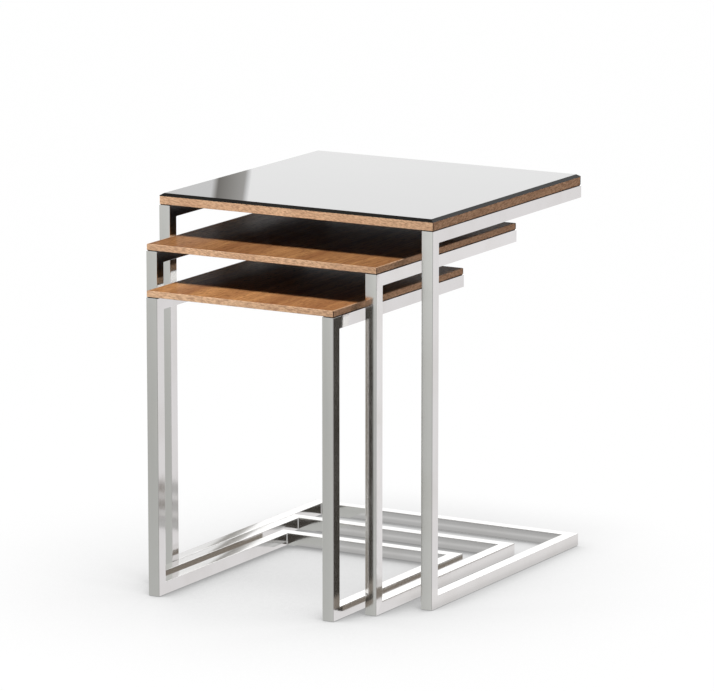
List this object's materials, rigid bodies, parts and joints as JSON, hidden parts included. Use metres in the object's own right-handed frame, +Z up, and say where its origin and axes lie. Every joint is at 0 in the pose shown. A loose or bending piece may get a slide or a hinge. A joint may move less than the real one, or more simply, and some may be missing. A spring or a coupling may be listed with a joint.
{
  "type": "nesting tables",
  "caption": "Nest of cantilevered side tables on square chrome tube frames that slide under one another, with walnut-veneered boards and a bevelled black glass top.",
  "frame": {"origin": "on the floor under the middle of the nest's overall box as the tables stand in the picture", "axes": "+Z up, +Y to the open back of the tables, +X to the right seen from the front, where the legs are"},
  "size_m": [0.45, 0.574, 0.562],
  "materials": {
    "chrome_tube": "mirror-polished chrome plate on square steel tube",
    "walnut_veneer": "satin lacquered walnut veneer",
    "walnut_band": "satin lacquered walnut edge band",
    "fibreboard": "raw fibreboard",
    "black_glass": "polished glass painted black on its underside, bevelled edge",
    "clear_silicone": "clear silicone",
    "seat_tape": "black foam tape",
    "screw_steel": "bright zinc plate",
    "glide_nylon": "moulded black nylon"
  },
  "bodies": {
    "large_table": {"glass_bond_pads": "clear_silicone", "glass_top": "black_glass", "large_back_edge_band": "walnut_band", "large_board_core": "fibreboard", "large_board_screws": "screw_steel", "large_floor_glides": "glide_nylon", "large_front_edge_band": "walnut_band", "large_left_edge_band": "walnut_band", "large_left_floor_rail": "chrome_tube", "large_left_leg": "chrome_tube", "large_left_top_rail": "chrome_tube", "large_rail_end_plates": "chrome_tube", "large_rear_floor_rail": "chrome_tube", "large_right_edge_band": "walnut_band", "large_right_floor_rail": "chrome_tube", "large_right_leg": "chrome_tube", "large_right_top_rail": "chrome_tube", "large_seat_tapes": "seat_tape", "large_top_veneer": "walnut_veneer", "large_under_veneer": "walnut_veneer"},
    "middle_table": {"middle_back_edge_band": "walnut_band", "middle_board_core": "fibreboard", "middle_board_screws": "screw_steel", "middle_floor_glides": "glide_nylon", "middle_front_edge_band": "walnut_band", "middle_left_edge_band": "walnut_band", "middle_left_floor_rail": "chrome_tube", "middle_left_leg": "chrome_tube", "middle_left_top_rail": "chrome_tube", "middle_rail_end_plates": "chrome_tube", "middle_rear_floor_rail": "chrome_tube", "middle_right_edge_band": "walnut_band", "middle_right_floor_rail": "chrome_tube", "middle_right_leg": "chrome_tube", "middle_right_top_rail": "chrome_tube", "middle_seat_tapes": "seat_tape", "middle_top_veneer": "walnut_veneer", "middle_under_veneer": "walnut_veneer"},
    "small_table": {"small_back_edge_band": "walnut_band", "small_board_core": "fibreboard", "small_board_screws": "screw_steel", "small_floor_glides": "glide_nylon", "small_front_edge_band": "walnut_band", "small_left_edge_band": "walnut_band", "small_left_floor_rail": "chrome_tube", "small_left_leg": "chrome_tube", "small_left_top_rail": "chrome_tube", "small_rail_end_plates": "chrome_tube", "small_rear_floor_rail": "chrome_tube", "small_right_edge_band": "walnut_band", "small_right_floor_rail": "chrome_tube", "small_right_leg": "chrome_tube", "small_right_top_rail": "chrome_tube", "small_seat_tapes": "seat_tape", "small_top_veneer": "walnut_veneer", "small_under_veneer": "walnut_veneer"}
  },
  "joints": [
    {"name": "middle_table_slide", "type": "slide", "parent": "large_table", "child": "middle_table", "axis": [0, -1, 0], "range_m": [-0.083, 0.36]},
    {"name": "small_table_slide", "type": "slide", "parent": "middle_table", "child": "small_table", "axis": [0, -1, 0], "range_m": [-0.075, 0.34]}
  ]
}
